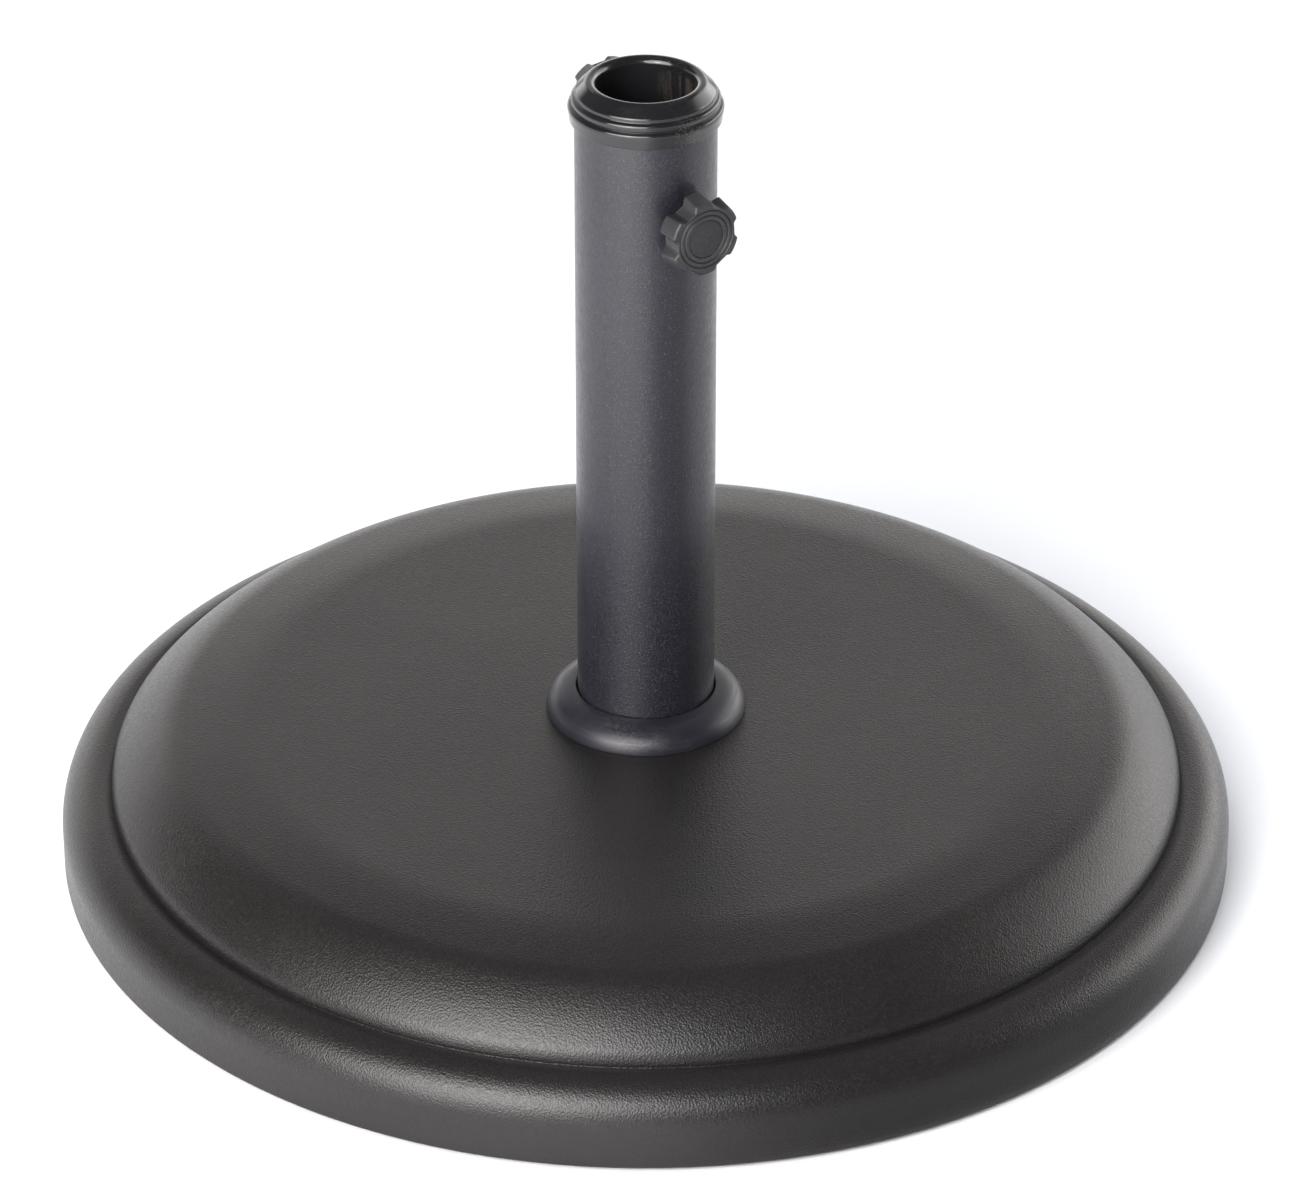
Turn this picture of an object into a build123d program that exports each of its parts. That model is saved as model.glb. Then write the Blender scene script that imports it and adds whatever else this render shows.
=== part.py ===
"""Weighted parasol base: round filled foot, clamping tube, loose collar and two clamp screws.

Frame: +Z up, origin on the floor under the middle of the foot.  The lower clamp screw
points along -Y (front), the upper one to the rear.  All lengths are millimetres.
"""
import os
from math import cos, radians, sin

from build123d import *

os.makedirs("parts", exist_ok=True)

# ---- driving dimensions -------------------------------------------------------------
# Foot
foot_d = 500.0              # outer diameter of the skirt
glide_proud = 1.5           # how far the glides hold the skirt off the floor
rim_round = 17.3            # radius of the rounded rim
rim_top = 36.0              # highest line of the rim
crease_z = 34.85            # foot of the dome, at its largest radius
plateau_z = 64.2            # top of the flat plateau
plateau_r = 165.0           # where the plateau starts to curve down
dome_arcs = [               # radius and turn (degrees) of the dome's side, from the plateau down
    (160.0, 5.0),
    (413.1, 2.5),
    (28.0, 23.2),
    (71.33, 19.3),
    (11.84, 40.0),
]
shell_t = 3.0               # wall of the moulded shell
fill_bottom = 3.0           # underside of the concrete

# Glides under the foot
glide_count = 6
glide_circle_r = 222.0
glide_r = 15.0
glide_edge = 0.8            # rounding of its lower edge

# Tube
tube_r = 29.0               # outside
tube_wall = 1.5
tube_bottom = 39.0
tube_top = 346.0
pocket_r = 30.0             # hole in the foot that the tube stands in

# Fixing from below: one M10 bolt through the foot into a nut welded to the tube's foot plate
plate_t = 5.0
bolt_r = 5.0
bolt_clear_r = 5.5
bolt_head_af = 17.0
bolt_head_h = 6.4
bolt_nut_h = 8.0
bolt_end = 51.0
bolt_play = 0.05
end_chamfer = 1.0           # at the bolt's end
plate_chamfer = 0.8
washer_r = 20.0
washer_t = 3.0
recess_r = 26.0             # recess in the underside for washer and bolt head
recess_top = 13.0
ferrule_r = 8.0

# Pole socket
pole_r = 20.0               # bore that the parasol pole stands in
guide_r = 27.4
guide_floor = 68.0
guide_top = 112.0
guide_lead = 4.0            # chamfer that leads the pole in
guide_floor_t = 4.0
guide_hollow_r = 22.5       # hollow under the floor of the guide

# Moulded cap on the tube, in one piece with its clamping sleeve
sleeve_r = 27.45
sleeve_bottom = 286.0
cap_lip_z = 340.7
cap_skirt_r = 29.05
lip_r = 30.9
# Points of the cap's outline (radius, height), from the bore's mouth outwards and down
cap_mouth = (20.0, 353.8)           # upper end of the plain bore
mouth_round = (20.75, 356.5)
cap_crest = (22.8, 357.5)
crown_round = (23.97, 357.26)
cap_crown = (24.96, 356.58)         # upper end of the sloping top
cap_shoulder = (28.29, 353.14)      # its lower end
shoulder_round = (28.52, 352.78)
shoulder_foot = (28.6, 352.37)
upper_groove = (28.6, 351.2)        # bottom of the groove above the middle ring
middle_start = (29.0, 350.9)
middle_round = (30.1, 350.4)
middle_ring = (30.3, 349.4)         # widest line of the middle ring
middle_foot = (30.1, 347.9)
lower_groove = (29.9, 347.5)        # bottom of the groove above the lower ring
lower_round = (31.2, 347.1)
lower_ring = (31.6, 346.0)          # widest line of the lower ring
band_round = (31.55, 345.2)
band_top = (31.4, 344.4)            # the straight band below the lower ring

# Loose collar ring
collar_r = 42.5
collar_bore_r = 29.6
collar_h = 10.8
collar_wall = 2.2
collar_gap = 0.05

# Clamp screws (distances run outwards from the tube's axis)
stud_r = 4.0                # M8
hole_clear_r = 4.5
nut_bore_r = 4.05
nut_side = 13.0
nut_t = 4.0
nut_play = 0.1
nut_inner = 22.6
knob_depth = 9.5
lobe_count = 6
lobe_front_r = 16.0         # the lobes flare a little towards the back of the knob
lobe_rear_r = 17.0
lobe_edge = 1.4             # bevel between the lobes and the face
bevel_bend_in = 0.56        # where that bevel bends, behind the face
bevel_bend_down = 0.42      # and inside the lobes' outer radius
rear_edge = 0.5
valley_r = 13.1
valley_half = 1.85          # half width of a valley's floor
valley_slope = 1.06         # how fast a valley widens outwards
ring_grooves = (12.4, 10.3)         # radii of the two grooves in the face
groove_half = 0.4
groove_depth = 0.7
disc_r = 8.2                # recess for the centre disc
recess_lead = 0.4           # chamfer at its edge
recess_depth = 1.6
disc_play = 0.1
disc_dish = 0.5
stud_hold = 6.5             # how deep the stud sits in the knob
stud_inner = 24.5
tip_inner = 20.6
tip_r = 3.2
pin_r = 1.5
pin_length = 2.5
pin_fit = 0.05
stud_chamfer = 0.6

# Each clamp: name, height, heading (degrees from +X), turn of the knob at rest, and how far
# the back of the knob stands from the tube's axis (the upper one has to clear the cap)
clamps = [
    ("front", 304.0, -90.0, 33.5, 34.5),
    ("rear", 331.0, 77.0, 47.7, 38.7),
]


def finish(builder, name):
    """Label a finished piece and write it out."""
    builder.part.label = name
    export_step(builder.part, f"parts/{name}.step")


def station(height, heading, distance):
    """Plane across a clamp screw, at a distance from the tube's axis, facing outwards."""
    out_x = cos(radians(heading))
    out_y = sin(radians(heading))
    return Plane(
        origin=(out_x * distance, out_y * distance, height),
        x_dir=(-out_y, out_x, 0),
        z_dir=(out_x, out_y, 0),
    )


def foot_outline(inset):
    """Half section of the foot between floor and plateau, moved inwards by inset."""
    outer = foot_d / 2 - inset
    base_z = glide_proud if inset == 0 else fill_bottom
    arc_r = rim_round - inset
    rim_x = foot_d / 2 - rim_round
    rim_z = rim_top - rim_round
    Line((0, base_z), (outer, base_z))
    Line((outer, base_z), (outer, rim_z))
    CenterArc((rim_x, rim_z), arc_r, 0, 90)
    # down the dome's side, from the plateau to the crease
    side = Line((0, plateau_z - inset), (plateau_r, plateau_z - inset))
    for radius, turn in dome_arcs:
        side = JernArc(side @ 1, side % 1, radius - inset, -turn)
    crease = side @ 1
    if inset:
        step = Line(crease, (crease.X, crease_z - inset))
        crease = step @ 1
    Line((rim_x, rim_z + arc_r), crease)
    Line((0, plateau_z - inset), (0, base_z))


# ---- foot ---------------------------------------------------------------------------
with BuildPart() as base_shell:
    with BuildSketch(Plane.XZ):
        with BuildLine():
            foot_outline(0)
        make_face()
    revolve(axis=Axis.Z)
    with BuildSketch(Plane.XZ):
        with BuildLine():
            foot_outline(shell_t)
        make_face()
    revolve(axis=Axis.Z, mode=Mode.SUBTRACT)
    with BuildSketch(Plane.XY):
        Circle(foot_d / 2 - shell_t)
    extrude(amount=fill_bottom, mode=Mode.SUBTRACT)
    with BuildSketch(Plane.XY.offset(fill_bottom)):
        Circle(pocket_r)
    extrude(amount=plateau_z, mode=Mode.SUBTRACT)
finish(base_shell, "base_shell")

with BuildPart() as concrete_core:
    with BuildSketch(Plane.XZ):
        with BuildLine():
            foot_outline(shell_t)
        make_face()
    revolve(axis=Axis.Z)
    with BuildSketch(Plane.XY):
        Circle(recess_r)
    extrude(amount=recess_top, mode=Mode.SUBTRACT)
    with BuildSketch(Plane.XY):
        Circle(ferrule_r)
    extrude(amount=tube_bottom, mode=Mode.SUBTRACT)
    with BuildSketch(Plane.XY.offset(tube_bottom - plate_t)):
        Circle(pocket_r)
    extrude(amount=plateau_z, mode=Mode.SUBTRACT)
finish(concrete_core, "concrete_core")

for number in range(1, glide_count + 1):
    angle = (number - 0.5) * 360 / glide_count
    with BuildPart() as glide:
        with BuildSketch(Plane.XY):
            with PolarLocations(glide_circle_r, 1, start_angle=angle):
                Circle(glide_r)
        extrude(amount=fill_bottom)
        fillet(glide.edges().group_by(Axis.Z)[0], glide_edge)
    finish(glide, f"glide_{number}")

# ---- fixing of the tube ---------------------------------------------------------------
with BuildPart() as core_ferrule:
    with BuildSketch(Plane.XY.offset(recess_top)):
        Circle(ferrule_r)
        Circle(bolt_clear_r, mode=Mode.SUBTRACT)
    extrude(amount=tube_bottom - plate_t - recess_top)
finish(core_ferrule, "core_ferrule")

with BuildPart() as tube_foot_plate:
    with BuildSketch(Plane.XY.offset(tube_bottom - plate_t)):
        Circle(tube_r)
        Circle(bolt_clear_r, mode=Mode.SUBTRACT)
    extrude(amount=plate_t)
    chamfer(tube_foot_plate.edges().group_by(Axis.Z)[0].sort_by(SortBy.RADIUS)[-1], plate_chamfer)
finish(tube_foot_plate, "tube_foot_plate")

with BuildPart() as weld_nut:
    with BuildSketch(Plane.XY.offset(tube_bottom)):
        RegularPolygon(bolt_head_af / 2, 6, major_radius=False)
        Circle(bolt_r + bolt_play, mode=Mode.SUBTRACT)
    extrude(amount=bolt_nut_h)
finish(weld_nut, "weld_nut")

with BuildPart() as fixing_washer:
    with BuildSketch(Plane.XY.offset(recess_top - washer_t)):
        Circle(washer_r)
        Circle(bolt_clear_r, mode=Mode.SUBTRACT)
    extrude(amount=washer_t)
finish(fixing_washer, "fixing_washer")

with BuildPart() as fixing_bolt:
    with BuildSketch(Plane.XY.offset(recess_top - washer_t - bolt_head_h)):
        RegularPolygon(bolt_head_af / 2, 6, major_radius=False)
    extrude(amount=bolt_head_h)
    with BuildSketch(Plane.XY.offset(recess_top - washer_t)):
        Circle(bolt_r)
    extrude(amount=bolt_end - recess_top + washer_t)
    chamfer(fixing_bolt.edges().group_by(Axis.Z)[-1], end_chamfer)
finish(fixing_bolt, "fixing_bolt")

# ---- tube and pole socket -------------------------------------------------------------
with BuildPart() as tube:
    with BuildSketch(Plane.XY.offset(tube_bottom)):
        Circle(tube_r)
        Circle(tube_r - tube_wall, mode=Mode.SUBTRACT)
    extrude(amount=tube_top - tube_bottom)
    for _, height, heading, _, _ in clamps:
        with BuildSketch(station(height, heading, 0)):
            Circle(hole_clear_r)
        extrude(amount=tube_r + tube_wall, mode=Mode.SUBTRACT)
finish(tube, "tube")

with BuildPart() as pole_guide:
    with BuildSketch(Plane.XY.offset(tube_bottom)):
        Circle(guide_r)
    extrude(amount=guide_top - tube_bottom)
    with BuildSketch(Plane.XY.offset(guide_floor)):
        Circle(pole_r)
    extrude(amount=guide_top, mode=Mode.SUBTRACT)
    chamfer(pole_guide.edges().group_by(Axis.Z)[-1].sort_by(SortBy.RADIUS)[0], guide_lead)
    with BuildSketch(Plane.XY.offset(tube_bottom)):
        Circle(guide_hollow_r)
    extrude(amount=guide_floor - guide_floor_t - tube_bottom, mode=Mode.SUBTRACT)
finish(pole_guide, "pole_guide")

with BuildPart() as top_cap:
    with BuildSketch(Plane.XZ):
        with BuildLine():
            # bore, mouth and sloping top
            Line((pole_r, sleeve_bottom), cap_mouth)
            ThreePointArc(cap_mouth, mouth_round, cap_crest)
            ThreePointArc(cap_crest, crown_round, cap_crown)
            Line(cap_crown, cap_shoulder)
            # shoulder down into the upper groove
            ThreePointArc(cap_shoulder, shoulder_round, shoulder_foot)
            Polyline(shoulder_foot, upper_groove, middle_start)
            # middle ring down into the lower groove
            ThreePointArc(middle_start, middle_round, middle_ring)
            Polyline(middle_ring, middle_foot, lower_groove)
            # lower ring and the band under it, down to the lip on the tube
            ThreePointArc(lower_groove, lower_round, lower_ring)
            ThreePointArc(lower_ring, band_round, band_top)
            Polyline(
                band_top, (lip_r, cap_lip_z), (cap_skirt_r, cap_lip_z), (cap_skirt_r, tube_top),
                (sleeve_r, tube_top), (sleeve_r, sleeve_bottom), (pole_r, sleeve_bottom),
            )
        make_face()
    revolve(axis=Axis.Z)
    for _, height, heading, _, _ in clamps:
        with BuildSketch(station(height, heading, 0)):
            Circle(hole_clear_r)
        extrude(amount=tube_r, mode=Mode.SUBTRACT)
        with BuildSketch(station(height, heading, nut_inner - nut_play)):
            Rectangle(nut_side + 2 * nut_play, nut_side + 2 * nut_play)
        extrude(amount=sleeve_r - nut_inner + nut_play, mode=Mode.SUBTRACT)
finish(top_cap, "top_cap")

# ---- loose collar ---------------------------------------------------------------------
with BuildPart() as collar_ring:
    collar_z = plateau_z + collar_gap
    span = collar_r - collar_bore_r
    inner_span = span - collar_wall
    inner_h = collar_h - collar_wall
    with BuildSketch(Plane.XZ):
        with BuildLine():
            EllipticalCenterArc((collar_bore_r, collar_z), span, collar_h, arc_size=90)
            Line((collar_bore_r, collar_z + collar_h), (collar_bore_r, collar_z + inner_h))
            EllipticalCenterArc((collar_bore_r, collar_z), inner_span, inner_h, arc_size=90)
            Line((collar_bore_r + inner_span, collar_z), (collar_r, collar_z))
        make_face()
    revolve(axis=Axis.Z)
finish(collar_ring, "collar_ring")

# ---- clamp screws -----------------------------------------------------------------------
for side, height, heading, turn, knob_rear in clamps:
    face = knob_rear + knob_depth
    across = station(height, heading, 0)
    lengthwise = Plane(origin=across.origin, x_dir=across.z_dir, z_dir=across.x_dir)
    screw_axis = Axis(across.origin, across.z_dir)

    with BuildPart() as nut:
        with BuildSketch(station(height, heading, nut_inner)):
            Rectangle(nut_side, nut_side)
            Circle(nut_bore_r, mode=Mode.SUBTRACT)
        extrude(amount=nut_t)
    finish(nut, f"{side}_nut")

    # lobed knob: a flared round body with ringed face, then the valleys cut between the lobes
    with BuildPart() as knob:
        with BuildSketch(lengthwise):
            with BuildLine():
                Polyline(
                    (knob_rear, 0), (knob_rear, lobe_rear_r - rear_edge),
                    (knob_rear + rear_edge, lobe_rear_r), (face - lobe_edge, lobe_front_r),
                    (face - bevel_bend_in, lobe_front_r - bevel_bend_down),
                    (face, lobe_front_r - lobe_edge), (face, disc_r + recess_lead),
                    (face - recess_lead, disc_r), (face - recess_depth, disc_r),
                    (face - recess_depth, 0), (knob_rear, 0),
                )
            make_face()
        revolve(axis=screw_axis)
        with BuildSketch(lengthwise):
            for groove_r in ring_grooves:
                with BuildLine():
                    Polyline(
                        (face, groove_r - groove_half), (face - groove_depth, groove_r),
                        (face, groove_r + groove_half), close=True,
                    )
                make_face()
        revolve(axis=screw_axis, mode=Mode.SUBTRACT)
        valley_end = lobe_rear_r + 2 * valley_half
        end_half = valley_half + valley_slope * (valley_end - valley_r)
        with BuildSketch(station(height, heading, knob_rear)):
            with PolarLocations(0, lobe_count, start_angle=turn + 180 / lobe_count):
                Polygon(
                    (valley_r, -valley_half), (valley_end, -end_half),
                    (valley_end, end_half), (valley_r, valley_half), align=None,
                )
        extrude(amount=knob_depth, mode=Mode.SUBTRACT)
        with BuildSketch(station(height, heading, knob_rear)):
            Circle(stud_r)
        extrude(amount=stud_hold, mode=Mode.SUBTRACT)
    finish(knob, f"{side}_knob")

    # dished disc that closes the middle of the knob's face
    disc_seat = face - recess_depth
    disc_face = face - recess_lead
    disc_edge_r = disc_r - disc_play
    dish_r = -(disc_edge_r**2 + disc_dish**2) / (2 * disc_dish)
    with BuildPart() as disc:
        with BuildSketch(lengthwise):
            with BuildLine():
                Polyline(
                    (disc_face - disc_dish, 0), (disc_seat, 0),
                    (disc_seat, disc_edge_r), (disc_face, disc_edge_r),
                )
                RadiusArc((disc_face, disc_edge_r), (disc_face - disc_dish, 0), dish_r)
            make_face()
        revolve(axis=screw_axis)
    finish(disc, f"{side}_knob_disc")

    # stud with the small pin that its thrust tip turns on
    with BuildPart() as stud:
        with BuildSketch(station(height, heading, stud_inner)):
            Circle(stud_r)
        extrude(amount=knob_rear + stud_hold - stud_inner)
        end = station(height, heading, stud_inner).origin
        chamfer(stud.edges().filter_by(GeomType.CIRCLE).sort_by_distance(end)[0], stud_chamfer)
        with BuildSketch(station(height, heading, stud_inner - pin_length)):
            Circle(pin_r)
        extrude(amount=pin_length)
    finish(stud, f"{side}_stud")

    with BuildPart() as tip:
        with BuildSketch(station(height, heading, tip_inner)):
            Circle(tip_r)
        extrude(amount=stud_inner - tip_inner - pin_fit)
        with BuildSketch(station(height, heading, stud_inner - pin_length - pin_fit)):
            Circle(pin_r + pin_fit)
        extrude(amount=pin_length, mode=Mode.SUBTRACT)
    finish(tip, f"{side}_thrust_tip")
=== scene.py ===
"""Parasol base: the visible pieces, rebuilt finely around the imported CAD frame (metres)."""
from math import atan2, ceil, cos, degrees, hypot, pi, radians, sin, sqrt, tan

import bmesh
import bpy
from mathutils import Matrix, Vector, noise


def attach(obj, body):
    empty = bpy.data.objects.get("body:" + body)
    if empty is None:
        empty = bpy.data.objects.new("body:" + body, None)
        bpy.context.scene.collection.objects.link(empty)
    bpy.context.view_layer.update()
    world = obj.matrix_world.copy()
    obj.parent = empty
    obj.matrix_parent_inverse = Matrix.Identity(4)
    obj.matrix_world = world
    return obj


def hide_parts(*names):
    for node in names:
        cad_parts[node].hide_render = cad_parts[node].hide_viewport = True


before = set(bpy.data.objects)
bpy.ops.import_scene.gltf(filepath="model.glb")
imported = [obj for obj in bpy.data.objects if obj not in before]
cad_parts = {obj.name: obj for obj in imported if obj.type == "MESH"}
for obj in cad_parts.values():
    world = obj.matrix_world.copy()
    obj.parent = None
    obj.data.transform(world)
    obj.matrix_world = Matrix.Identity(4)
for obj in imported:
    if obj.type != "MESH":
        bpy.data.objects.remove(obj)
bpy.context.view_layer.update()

scene = bpy.context.scene
MM = 0.001

# ---- dimensions in millimetres, as in the CAD -----------------------------------------------
# Foot
FOOT_R = 250.0
SKIRT_Z = 1.5                   # the glides hold the skirt this far off the floor
SKIRT_EDGE, SKIRT_INNER_EDGE = 0.8, 0.5
RIM_ROUND, RIM_TOP = 17.3, 36.0
CREASE_Z = 34.85                # foot of the dome
PLATEAU_Z, PLATEAU_R = 64.2, 165.0
# radius and turn in degrees of the dome's side, from the plateau down
DOME_ARCS = ((160.0, 5.0), (413.1, 2.5), (28.0, 23.2), (71.33, 19.3), (11.84, 40.0))
SHELL_T, FILL_Z = 3.0, 3.0      # wall of the shell, underside of the concrete
POCKET_R = 30.0                 # hole that the tube stands in
GLIDE_RING_R, GLIDE_R, GLIDE_T, GLIDES = 222.0, 15.0, 3.0, 6

# Tube and its fixing
TUBE_R, TUBE_WALL, TUBE_Z0, TUBE_Z1 = 29.0, 1.5, 39.0, 346.0
RECESS_R, RECESS_Z = 26.0, 13.0
FERRULE_R, PLATE_Z = 8.0, 34.0
WASHER_R, WASHER_BORE, WASHER_T = 20.0, 5.5, 3.0
BOLT_R, BOLT_AF, BOLT_HEAD, BOLT_END = 5.0, 17.0, 6.4, 51.0
FIT = 0.05                      # gap between pieces that fill each other

# Guide cup and collar
POLE_R = 20.0
GUIDE_R, GUIDE_FLOOR, GUIDE_TOP, GUIDE_LEAD = 27.4, 68.0, 112.0, 4.0
GUIDE_HOLLOW_R, GUIDE_FLOOR_T = 22.5, 4.0
COLLAR_R, COLLAR_BORE, COLLAR_H, COLLAR_WALL, COLLAR_GAP = 42.5, 29.6, 10.8, 2.2, 0.05

# Cap, in one piece with its clamping sleeve
SLEEVE_R, SLEEVE_Z, SLEEVE_EDGE = 27.45, 286.0, 1.0
CAP_LIP_Z, CAP_LIP_R, CAP_LIP_EDGE, CAP_SKIRT_R = 340.7, 30.93, 0.3, 29.05
# Points of its outline (radius, height), from the bore's mouth outwards and down
CAP_MOUTH, MOUTH_ROUND, CAP_CREST = (POLE_R, 353.8), (20.75, 356.5), (22.8, 357.5)
CROWN_ROUND, CAP_CROWN = (23.97, 357.26), (24.96, 356.58)
CAP_SHOULDER, SHOULDER_ROUND, SHOULDER_FOOT = (28.29, 353.14), (28.52, 352.78), (28.6, 352.37)
UPPER_GROOVE = [(28.6, 351.9), (28.6, 351.45), (28.66, 351.25), (28.8, 351.12), (29.0, 351.05)]
MIDDLE_START, MIDDLE_ROUND, MIDDLE_RING = (29.1, 351.0), (30.1, 350.4), (30.3, 349.4)
LOWER_GROOVE = [(30.28, 348.8), (30.14, 348.1), (30.02, 347.7), (30.06, 347.55), (30.2, 347.46)]
LOWER_START, LOWER_ROUND, LOWER_RING = (30.35, 347.4), (31.2, 347.1), (31.6, 346.0)
BAND_ROUND, BAND_TOP = (31.55, 345.2), (31.4, 344.4)
BAND, LIP_FOOT = [(31.2, 343.0), (31.0, 341.5), (CAP_LIP_R, 341.0)], (30.2, CAP_LIP_Z)

# Clamp screws
HOLE_R = 4.5
NUT_SIDE, NUT_PLAY, NUT_INNER = 13.0, 0.1, 22.6
STUD_R, THREAD_ROOT_R, PITCH = 4.0, 3.4, 1.25
STUD_INNER, PIN_R, PIN_LENGTH, PIN_FIT = 24.5, 1.5, 2.5, 0.05
TIP_INNER, TIP_R = 20.6, 3.2
KNOB_DEPTH, LOBES, STUD_HOLD = 9.5, 6, 6.5
LOBE_FRONT_R, LOBE_REAR_R, LOBE_EDGE = 16.0, 17.0, 1.4
VALLEY_R, VALLEY_HALF, VALLEY_SLOPE = 13.1, 1.85, 1.06
FACE_R = 12.95                  # the knob's face, inside its lowest valley
RING_GROOVES = (12.4, 10.3)
DISC_R, DISC_PLAY, DISC_DISH = 8.2, 0.1, 0.5
RECESS_LEAD, RECESS_DEPTH = 0.4, 1.6
# name, height, heading and turn of the lobes in degrees, distance of the knob's back from the axis
CLAMPS = (
    ("front", 304.0, -90.0, 33.5, 34.5),
    ("rear", 331.0, 77.0, 47.7, 38.7),
)


# ---- outlines ---------------------------------------------------------------------------------
def arc(centre, radius, start, end, steps):
    """Points along a circular arc, angles in degrees; radius may be a pair for an ellipse."""
    rx, ry = radius if isinstance(radius, tuple) else (radius, radius)
    angles = [radians(start + (end - start) * i / steps) for i in range(steps + 1)]
    return [(centre[0] + rx * cos(a), centre[1] + ry * sin(a)) for a in angles]


def arc3(a, b, c, steps):
    """Points along the circular arc from a through b to c."""
    ax, ay, bx, by, cx, cy = *a, *b, *c
    d = 2 * (ax * (by - cy) + bx * (cy - ay) + cx * (ay - by))
    a2, b2, c2 = ax * ax + ay * ay, bx * bx + by * by, cx * cx + cy * cy
    ox = (a2 * (by - cy) + b2 * (cy - ay) + c2 * (ay - by)) / d
    oy = (a2 * (cx - bx) + b2 * (ax - cx) + c2 * (bx - ax)) / d
    t0, t1, t2 = (degrees(atan2(y - oy, x - ox)) for x, y in (a, b, c))
    turn = (t2 - t0) % 360
    if (t1 - t0) % 360 > turn:
        turn -= 360
    return arc((ox, oy), hypot(ax - ox, ay - oy), t0, t0 + turn, steps)


def rounded(corners, steps=5):
    """An outline through (r, z) corners; a third number rounds that corner with this radius."""
    out = []
    count = len(corners)
    for i, corner in enumerate(corners):
        here = Vector(corner[:2])
        size = corner[2] if len(corner) > 2 else 0
        if not size:
            out.append(tuple(here))
            continue
        to_last = (Vector(corners[i - 1][:2]) - here).normalized()
        to_next = (Vector(corners[(i + 1) % count][:2]) - here).normalized()
        half = to_last.angle(to_next) / 2
        reach = size / tan(half)
        centre = here + (to_last + to_next).normalized() * size / sin(half)
        start = (here + to_last * reach - centre).normalized()
        end = (here + to_next * reach - centre).normalized()
        out += [tuple(centre + start.slerp(end, k / steps) * size) for k in range(steps + 1)]
    return out


def split(points, longest):
    """The same outline with no run longer than this."""
    out = []
    for (ar, az), (br, bz) in zip(points, points[1:]):
        parts = max(1, ceil(hypot(br - ar, bz - az) / longest))
        out += [(ar + (br - ar) * k / parts, az + (bz - az) * k / parts) for k in range(parts)]
    return out + [points[-1]]


def dome():
    """The dome's side from the plateau's edge down to the crease."""
    points, heading = [(PLATEAU_R, PLATEAU_Z)], 0.0
    for radius, turn in DOME_ARCS:
        x, z = points[-1]
        centre = (x - radius * sin(radians(heading)), z - radius * cos(radians(heading)))
        points += arc(centre, radius, 90 - heading, 90 - heading - turn, 14)[1:]
        heading += turn
    return points


# ---- meshes -----------------------------------------------------------------------------------
def station(height, heading):
    """Frame across a clamp screw: z points outwards from the tube's axis, y points up."""
    ox, oy = cos(radians(heading)), sin(radians(heading))
    return Matrix(((-oy, 0, ox, 0), (ox, 0, oy, 0), (0, 1, 0, height), (0, 0, 0, 1)))


def show_smooth(mesh, sharp):
    """Smooth shading, with edges sharper than this angle left sharp."""
    mesh.shade_smooth()
    mesh.set_sharp_from_angle(angle=radians(sharp))


def mesh_from(name, verts, faces, sharp=32):
    mesh = bpy.data.meshes.new(name)
    mesh.from_pydata([Vector(v) * MM for v in verts], [], faces)
    bm = bmesh.new()
    bm.from_mesh(mesh)
    bmesh.ops.remove_doubles(bm, verts=bm.verts, dist=1e-7)
    bmesh.ops.recalc_face_normals(bm, faces=bm.faces)
    bm.to_mesh(mesh)
    bm.free()
    show_smooth(mesh, sharp)
    return mesh


def loft(rings, wrap):
    """Vertices and faces over a list of rings; a ring of one point is a pole."""
    verts, ids = [], []
    count = max(len(ring) for ring in rings)
    for ring in rings:
        first = len(verts)
        verts += ring
        ids.append([first + k % len(ring) for k in range(count)])
    faces = []
    pairs = list(zip(ids, ids[1:])) + ([(ids[-1], ids[0])] if wrap else [])
    for low, high in pairs:
        for k in range(count):
            n = (k + 1) % count
            face = list(dict.fromkeys((low[k], low[n], high[n], high[k])))
            if len(face) > 2:
                faces.append(face)
    return verts, faces


def turned(outline, segments, place, shape=None):
    """Rings of an (r, z) outline turned about place's z axis; shape(angle, r, z) may vary r and z."""
    rings = []
    for r, z in outline:
        if r < 1e-6:
            rings.append([place @ Vector((0, 0, z))])
            continue
        ring = []
        for k in range(segments):
            a = 2 * pi * k / segments
            rr, zz = shape(a, r, z) if shape else (r, z)
            ring.append(place @ Vector((rr * cos(a), rr * sin(a), zz)))
        rings.append(ring)
    return rings


def lathe(name, outline, segments, place=Matrix(), shape=None, sharp=32):
    """A mesh turned from an outline that is closed, or that starts and ends on the axis."""
    on_axis = outline[0][0] < 1e-6 and outline[-1][0] < 1e-6
    verts, faces = loft(turned(outline, segments, place, shape), not on_axis)
    return mesh_from(name, verts, faces, sharp)


def cut(mesh, cutters, sharp=32):
    """The mesh with the cutters' solids taken away."""
    body = bpy.data.objects.new("cut_body", mesh)
    scene.collection.objects.link(body)
    tools = []
    for cutter in cutters:
        tool = bpy.data.objects.new("cut_tool", cutter)
        scene.collection.objects.link(tool)
        tools.append(tool)
        boolean = body.modifiers.new("cut", "BOOLEAN")
        boolean.operation, boolean.solver, boolean.object = "DIFFERENCE", "EXACT", tool
    evaluated = body.evaluated_get(bpy.context.evaluated_depsgraph_get())
    result = bpy.data.meshes.new_from_object(evaluated)
    result.name = mesh.name
    for thing in (body, *tools):
        old = thing.data
        bpy.data.objects.remove(thing)
        bpy.data.meshes.remove(old)
    show_smooth(result, sharp)
    return result


def piece(name, mesh, material, body, node):
    """A visible piece that rides on a body and stands for a CAD node."""
    obj = bpy.data.objects.new(name, mesh)
    scene.collection.objects.link(obj)
    mesh.materials.clear()
    mesh.materials.append(material)
    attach(obj, body)
    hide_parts(node)


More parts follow.
